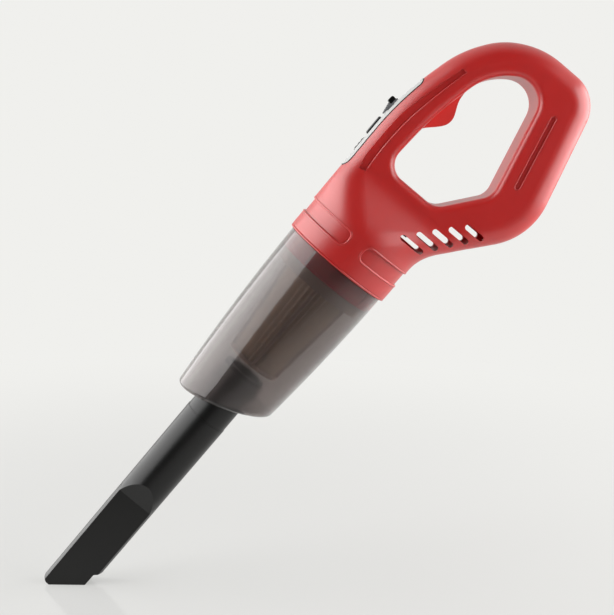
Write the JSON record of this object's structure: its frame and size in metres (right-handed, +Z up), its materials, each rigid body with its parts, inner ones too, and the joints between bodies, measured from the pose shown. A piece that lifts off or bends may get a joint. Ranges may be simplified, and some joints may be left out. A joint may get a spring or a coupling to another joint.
{
  "type": "handheld vacuum",
  "caption": "Slim cordless handheld vacuum: looped handle with trigger, clear dust cup with a filter, and a crevice nozzle.",
  "frame": {"origin": "on the suction axis, at the front face of the housing's collar, where the dust cup seats", "axes": "+X along the suction axis from the nozzle towards the handle, +Z up through the grip, +Y towards the right shell; the shells part on the plane Y = 0"},
  "size_m": [0.3651, 0.059, 0.0927],
  "materials": {
    "housing_red": "satin, fine texture",
    "trigger_red": "satin",
    "panel_grey": "satin",
    "dark_window": "gloss",
    "slider_grey": "satin",
    "black_plastic": "satin",
    "smoky_clear": "clear, smoky",
    "filter_cloth": "pleated cloth",
    "rubber_dark": "matte",
    "motor_steel": "plated",
    "fan_white": "moulded",
    "mount_black": "moulded",
    "magnet_grey": "dull",
    "copper_brass": "bare",
    "spring_steel": "bare",
    "board_green": "coated",
    "cell_wrap": "shrink wrap",
    "led_white": "moulded"
  },
  "bodies": {
    "housing": {"left_shell": "housing_red", "right_shell": "housing_red", "fan_housing": "housing_red", "top_panel": "panel_grey", "gauge_window": "dark_window", "indicator_lenses": "dark_window", "slide_switch": "motor_steel", "trigger_pin": "motor_steel", "micro_switch": "mount_black", "control_board": "board_green", "indicator_leds": "led_white", "battery_cell": "cell_wrap", "cell_holder": "mount_black", "cell_contacts": "motor_steel", "charge_board": "board_green", "charging_socket": "motor_steel", "housing_screws": "motor_steel", "motor_mount": "mount_black", "motor_screws": "motor_steel", "motor_can": "motor_steel", "motor_endcap": "mount_black", "motor_terminals": "copper_brass", "motor_magnets": "magnet_grey", "motor_bushes": "copper_brass", "motor_damper": "rubber_dark", "filter_seal": "rubber_dark", "cup_seal": "rubber_dark"},
    "trigger": {"trigger": "trigger_red", "trigger_spring": "spring_steel"},
    "slider": {"thumb_slider": "slider_grey", "slider_knob": "black_plastic", "switch_lever": "black_plastic"},
    "fan": {"impeller": "fan_white", "motor_shaft": "motor_steel", "motor_armature": "copper_brass"},
    "filter": {"filter_frame": "mount_black", "filter_element": "filter_cloth"},
    "cup": {"dust_cup": "smoky_clear"},
    "seal": {"nozzle_seal": "rubber_dark"},
    "nozzle": {"crevice_nozzle": "black_plastic"}
  },
  "joints": [
    {"name": "trigger_squeeze", "type": "hinge", "parent": "housing", "child": "trigger", "pos_m": [0.101, 0, 0.012], "axis": [0, 1, 0], "range_deg": [0, 8], "stiffness_Nm_per_rad": 0.35, "springref_deg": -6.88, "deforming": ["trigger_spring"]},
    {"name": "thumb_slide", "type": "slide", "parent": "housing", "child": "slider", "axis": [0.9954, 0, -0.096], "range_m": [0, 0.0045]},
    {"name": "fan_spin", "type": "hinge", "parent": "housing", "child": "fan", "pos_m": [0, 0, 0], "axis": [1, 0, 0], "continuous": true},
    {"name": "filter_pull", "type": "slide", "parent": "housing", "child": "filter", "axis": [-1, 0, 0], "range_m": [0, 0.0055]},
    {"name": "cup_pull", "type": "slide", "parent": "housing", "child": "cup", "axis": [-1, 0, 0], "range_m": [0, 0.11]},
    {"name": "nozzle_pull", "type": "slide", "parent": "cup", "child": "seal", "axis": [-1, 0, 0], "range_m": [0, 0.035]},
    {"name": "nozzle_twist", "type": "hinge", "parent": "seal", "child": "nozzle", "pos_m": [0, 0, 0], "axis": [1, 0, 0], "continuous": true}
  ]
}
